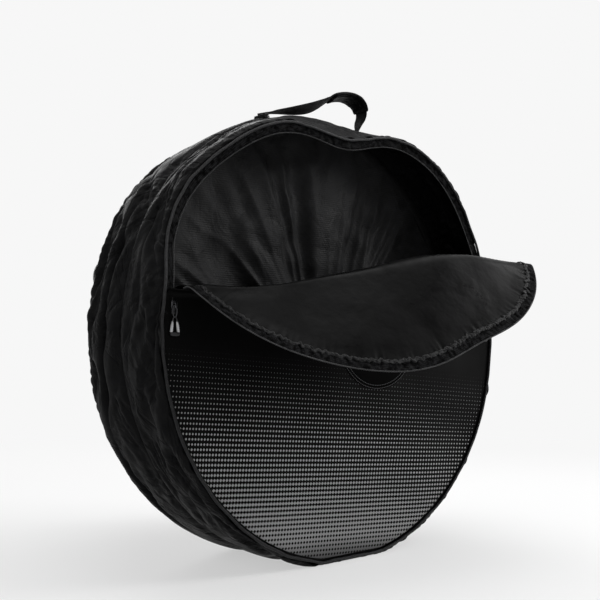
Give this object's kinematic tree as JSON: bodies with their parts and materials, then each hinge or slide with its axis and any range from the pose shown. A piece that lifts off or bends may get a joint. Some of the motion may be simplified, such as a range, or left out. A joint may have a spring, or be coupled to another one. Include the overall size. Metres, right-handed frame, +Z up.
{
  "type": "bike wheel bag",
  "caption": "Round soft bag for a pair of bicycle wheels, with a padded divider, a zipped flap on each face folded open, and a carrying handle on top.",
  "frame": {"origin": "on the ground under the middle of the bag, at the centre of its flattened base", "axes": "+Z up; the front face looks along -Y; +X to the right seen from the front"},
  "size_m": [0.724, 0.6578, 0.7781],
  "materials": {
    "nylon": "black crinkled nylon with a soft sheen",
    "vinyl": "black vinyl with a woven dot pattern",
    "coated_lining": "smooth black coated lining",
    "foam": "closed cell foam padding",
    "zip_tape": "dark grey woven zip tape",
    "zip_coil": "black nylon coil",
    "piping": "dark grey corded piping",
    "webbing": "black woven webbing",
    "slider_metal": "dark plated metal",
    "pull_cord": "light grey cord",
    "pull_grip": "black moulded rubber"
  },
  "bodies": {
    "shell": {"front_gusset": "nylon", "rear_gusset": "nylon", "front_piping": "piping", "rear_piping": "piping", "divider": "nylon", "divider_binding": "webbing", "handle_tab_left": "webbing", "handle_tab_right": "webbing", "front_panel_skin": "vinyl", "front_panel_foam": "foam", "front_panel_lining": "coated_lining", "front_zip_tape": "zip_tape", "front_zip_coil": "zip_coil", "front_zip_stop_left": "slider_metal", "front_zip_stop_right": "slider_metal", "front_round_patch": "vinyl", "rear_panel_skin": "vinyl", "rear_panel_foam": "foam", "rear_panel_lining": "coated_lining", "rear_zip_tape": "zip_tape", "rear_zip_coil": "zip_coil", "rear_zip_stop_left": "slider_metal", "rear_zip_stop_right": "slider_metal", "rear_round_patch": "vinyl"},
    "front_flap_base": {"front_flap_base_skin": "vinyl", "front_flap_base_foam": "foam", "front_flap_base_lining": "coated_lining", "front_flap_base_tape": "zip_tape", "front_flap_base_coil": "zip_coil", "front_round_patch_top": "vinyl"},
    "front_flap": {"front_flap_skin": "vinyl", "front_flap_foam": "foam", "front_flap_lining": "coated_lining", "front_flap_tape": "zip_tape", "front_flap_coil": "zip_coil"},
    "front_left_slider": {"front_left_slider": "slider_metal"},
    "front_left_puller": {"front_left_pull_cord": "pull_cord", "front_left_pull_grip": "pull_grip"},
    "front_right_slider": {"front_right_slider": "slider_metal"},
    "front_right_puller": {"front_right_pull_cord": "pull_cord", "front_right_pull_grip": "pull_grip"},
    "rear_flap_base": {"rear_flap_base_skin": "vinyl", "rear_flap_base_foam": "foam", "rear_flap_base_lining": "coated_lining", "rear_flap_base_tape": "zip_tape", "rear_flap_base_coil": "zip_coil", "rear_round_patch_top": "vinyl"},
    "rear_flap": {"rear_flap_skin": "vinyl", "rear_flap_foam": "foam", "rear_flap_lining": "coated_lining", "rear_flap_tape": "zip_tape", "rear_flap_coil": "zip_coil"},
    "rear_left_slider": {"rear_left_slider": "slider_metal"},
    "rear_left_puller": {"rear_left_pull_cord": "pull_cord", "rear_left_pull_grip": "pull_grip"},
    "rear_right_slider": {"rear_right_slider": "slider_metal"},
    "rear_right_puller": {"rear_right_pull_cord": "pull_cord", "rear_right_pull_grip": "pull_grip"},
    "handle": {"handle_strap": "webbing", "handle_wrap": "webbing"}
  },
  "joints": [
    {"name": "front_fold", "type": "hinge", "parent": "shell", "child": "front_flap_base", "pos_m": [0, -0.0973, 0.40612], "axis": [1, 0, 0], "range_deg": [-67, 12]},
    {"name": "front_crease", "type": "hinge", "parent": "front_flap_base", "child": "front_flap", "pos_m": [0, -0.19165, 0.44617], "axis": [0.9728, -0.2132, 0.0905], "range_deg": [-68.01, 12.19]},
    {"name": "front_left_zip", "type": "hinge", "parent": "shell", "child": "front_left_slider", "pos_m": [0, -0.0964, 0.35612], "axis": [0, 1, 0], "range_deg": [0, 79.1]},
    {"name": "front_left_pull", "type": "hinge", "parent": "front_left_slider", "child": "front_left_puller", "pos_m": [-0.33825, -0.1002, 0.39062], "axis": [-1, 0, 0], "range_deg": [0, 120]},
    {"name": "front_right_zip", "type": "hinge", "parent": "shell", "child": "front_right_slider", "pos_m": [0, -0.0964, 0.35612], "axis": [0, -1, 0], "range_deg": [0, 79.1]},
    {"name": "front_right_pull", "type": "hinge", "parent": "front_right_slider", "child": "front_right_puller", "pos_m": [0.33825, -0.1002, 0.39062], "axis": [-1, 0, 0], "range_deg": [0, 120]},
    {"name": "rear_fold", "type": "hinge", "parent": "shell", "child": "rear_flap_base", "pos_m": [0, 0.0973, 0.40612], "axis": [-1, 0, 0], "range_deg": [-67, 12]},
    {"name": "rear_crease", "type": "hinge", "parent": "rear_flap_base", "child": "rear_flap", "pos_m": [0, 0.19165, 0.44617], "axis": [-0.9728, 0.2132, 0.0905], "range_deg": [-68.01, 12.19]},
    {"name": "rear_left_zip", "type": "hinge", "parent": "shell", "child": "rear_left_slider", "pos_m": [0, 0.0964, 0.35612], "axis": [0, -1, 0], "range_deg": [0, 79.1]},
    {"name": "rear_left_pull", "type": "hinge", "parent": "rear_left_slider", "child": "rear_left_puller", "pos_m": [0.33825, 0.1002, 0.39062], "axis": [1, 0, 0], "range_deg": [0, 120]},
    {"name": "rear_right_zip", "type": "hinge", "parent": "shell", "child": "rear_right_slider", "pos_m": [0, 0.0964, 0.35612], "axis": [0, 1, 0], "range_deg": [0, 79.1]},
    {"name": "rear_right_pull", "type": "hinge", "parent": "rear_right_slider", "child": "rear_right_puller", "pos_m": [-0.33825, 0.1002, 0.39062], "axis": [1, 0, 0], "range_deg": [0, 120]},
    {"name": "handle_swing", "type": "hinge", "parent": "shell", "child": "handle", "pos_m": [0, 0, 0.71036], "axis": [1, 0, 0], "range_deg": [-25, 25]}
  ],
  "couplings": [
    {"joint": "front_crease", "follows": "front_fold", "ratio": 1.0149},
    {"joint": "rear_crease", "follows": "rear_fold", "ratio": 1.0149}
  ]
}
